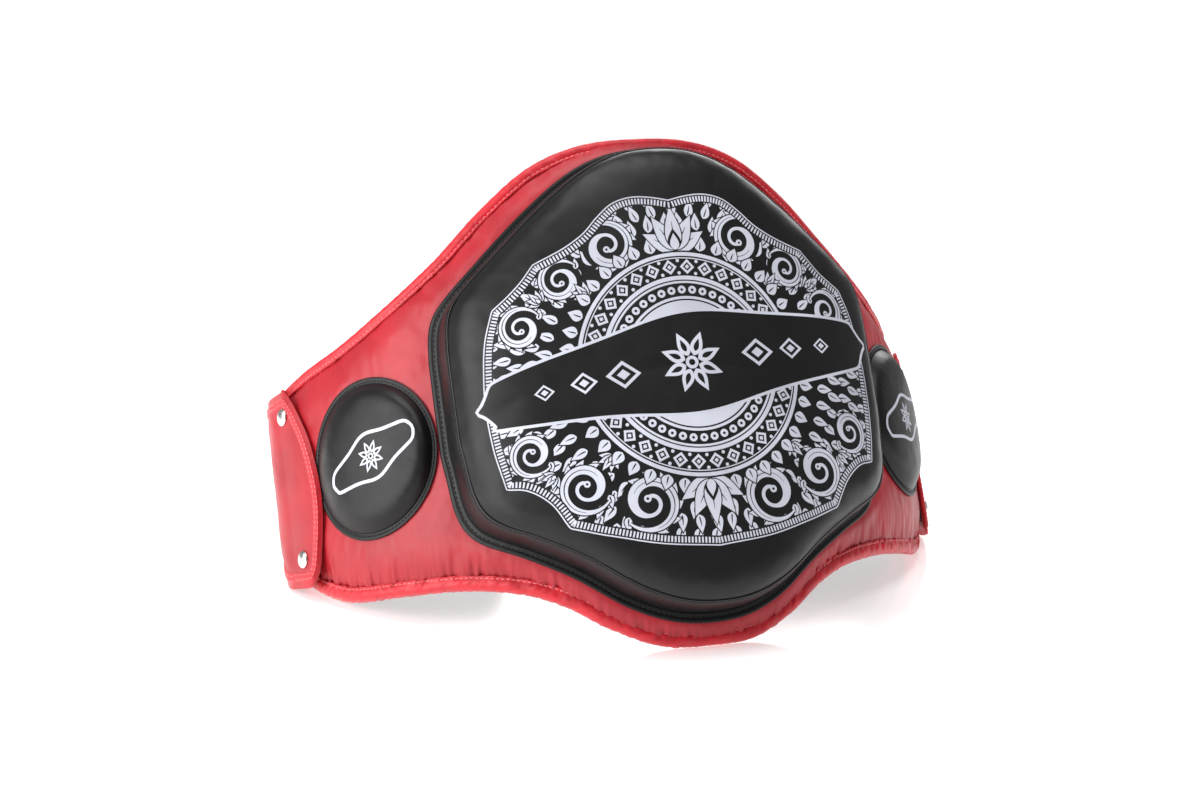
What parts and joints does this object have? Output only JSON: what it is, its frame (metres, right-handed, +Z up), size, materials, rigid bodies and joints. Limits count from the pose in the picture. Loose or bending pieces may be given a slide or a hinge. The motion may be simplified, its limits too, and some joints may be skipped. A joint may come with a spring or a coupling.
{
  "type": "trainer belly pad",
  "caption": "Curved padded trainer's belly shield with a raised black centre pad, round side pads and riveted leather closure wings that swing at each side.",
  "frame": {"origin": "middle of the footprint, on the surface that the pad stands on", "axes": "+X towards the pad's own left-to-right width, from the pictured near wing to the far one; -Y is the side that faces the striker; +Z up; the pad leans back 28.2 degrees towards +Y"},
  "size_m": [0.5318, 0.4413, 0.347],
  "materials": {
    "red_leather": "satin",
    "black_leather": "satin",
    "edge_binding": "satin woven nylon",
    "lining": "coated nylon",
    "soft_foam": "open cell foam",
    "dense_foam": "closed cell foam",
    "hook_and_loop": "hook and loop tape",
    "nickel": "nickel plated",
    "print": "screen print",
    "thread": "bonded thread"
  },
  "bodies": {
    "pad": {"front_leather": "red_leather", "soft_foam": "soft_foam", "dense_foam": "dense_foam", "back_lining": "lining", "top_binding": "edge_binding", "bottom_binding": "edge_binding", "left_end_binding": "edge_binding", "right_end_binding": "edge_binding", "centre_flange": "black_leather", "centre_wall": "black_leather", "centre_top_leather": "black_leather", "centre_dense_foam": "dense_foam", "centre_soft_foam": "soft_foam", "left_disc_flange": "black_leather", "left_disc_cover": "black_leather", "left_disc_foam": "soft_foam", "right_disc_flange": "black_leather", "right_disc_cover": "black_leather", "right_disc_foam": "soft_foam", "left_strip_leather": "red_leather", "left_strip_binding": "edge_binding", "right_strip_leather": "red_leather", "right_strip_binding": "edge_binding", "left_rivets": "nickel", "left_rivet_backs": "nickel", "right_rivets": "nickel", "right_rivet_backs": "nickel"},
    "left_wing": {"left_wing_leather": "red_leather", "left_wing_felt": "dense_foam", "left_wing_lining": "lining", "left_wing_binding": "edge_binding", "left_loop_patch": "hook_and_loop"},
    "right_wing": {"right_wing_leather": "red_leather", "right_wing_felt": "dense_foam", "right_wing_lining": "lining", "right_wing_binding": "edge_binding", "right_hook_patch": "hook_and_loop"}
  },
  "joints": [
    {"name": "left_wing_swing", "type": "hinge", "parent": "pad", "child": "left_wing", "pos_m": [-0.2612, 0.05874, 0.07251], "axis": [0, 0.4726, 0.8813], "range_deg": [-18, 120]},
    {"name": "right_wing_swing", "type": "hinge", "parent": "pad", "child": "right_wing", "pos_m": [0.2612, 0.05874, 0.07251], "axis": [0, -0.4726, -0.8813], "range_deg": [-18, 120]}
  ]
}
